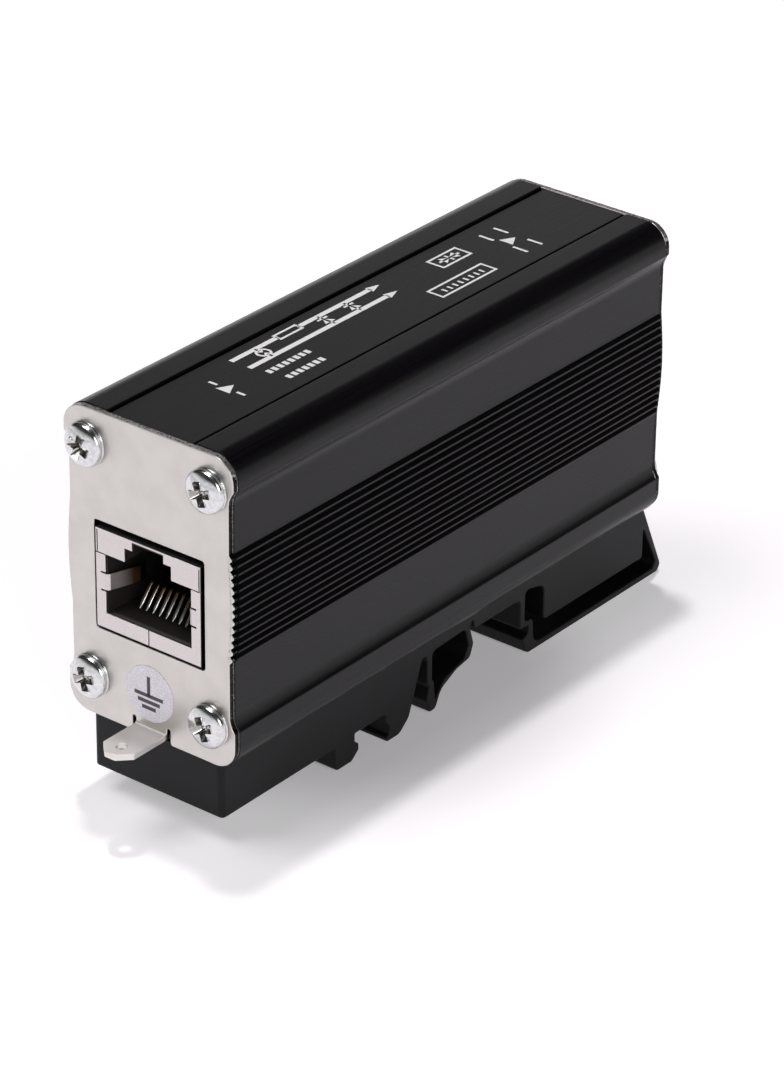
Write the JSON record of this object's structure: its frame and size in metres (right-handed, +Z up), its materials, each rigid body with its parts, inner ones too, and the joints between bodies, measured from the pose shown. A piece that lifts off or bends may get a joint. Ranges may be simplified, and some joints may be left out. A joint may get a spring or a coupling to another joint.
{
  "type": "ethernet surge protector",
  "caption": "Inline surge protector for shielded network cable: slim extruded metal housing on a DIN rail foot, a shielded socket in each end plate and a push-on earth tab.",
  "frame": {"origin": "under the middle of the whole part, at the level of the rail foot's underside", "axes": "+Z up from the rail foot to the housing's top; -Y towards the line-in end with the earth tab; +X to the right of the line-in end plate as it is looked at"},
  "size_m": [0.0262, 0.0978, 0.0525],
  "materials": {
    "housing": "black anodised, satin",
    "plate": "nickel-plated sheet steel, satin",
    "screw": "bright zinc plating with a bluish tint",
    "label": "printed film label, matte",
    "foot": "moulded nylon, matte",
    "board": "solder mask over glass laminate",
    "film": "insulating film, satin",
    "spring": "phosphor bronze strip, bright",
    "shield": "nickel-plated sheet, satin",
    "insert": "moulded, semi-gloss",
    "contact": "gold-flashed phosphor bronze",
    "arrester": "glazed ceramic tube with tinned electrodes",
    "diode": "moulded epoxy"
  },
  "bodies": {
    "root": {"housing_extrusion": "housing", "front_end_plate": "plate", "rear_end_plate": "plate", "front_plate_screws": "screw", "rear_plate_screws": "screw", "earth_label": "label", "din_rail_foot": "foot", "circuit_board": "board", "insulating_film": "film", "earth_spring": "spring", "line_in_shield": "shield", "line_out_shield": "shield", "line_in_insert": "insert", "line_out_insert": "insert", "line_in_contact_1": "contact", "line_in_contact_2": "contact", "line_in_contact_3": "contact", "line_in_contact_4": "contact", "line_in_contact_5": "contact", "line_in_contact_6": "contact", "line_in_contact_7": "contact", "line_in_contact_8": "contact", "line_out_contact_1": "contact", "line_out_contact_2": "contact", "line_out_contact_3": "contact", "line_out_contact_4": "contact", "line_out_contact_5": "contact", "line_out_contact_6": "contact", "line_out_contact_7": "contact", "line_out_contact_8": "contact", "gas_arrester_1": "arrester", "gas_arrester_2": "arrester", "gas_arrester_3": "arrester", "gas_arrester_4": "arrester", "diode_array_1": "diode", "diode_array_2": "diode", "diode_array_3": "diode", "diode_array_4": "diode"}
  },
  "joints": []
}
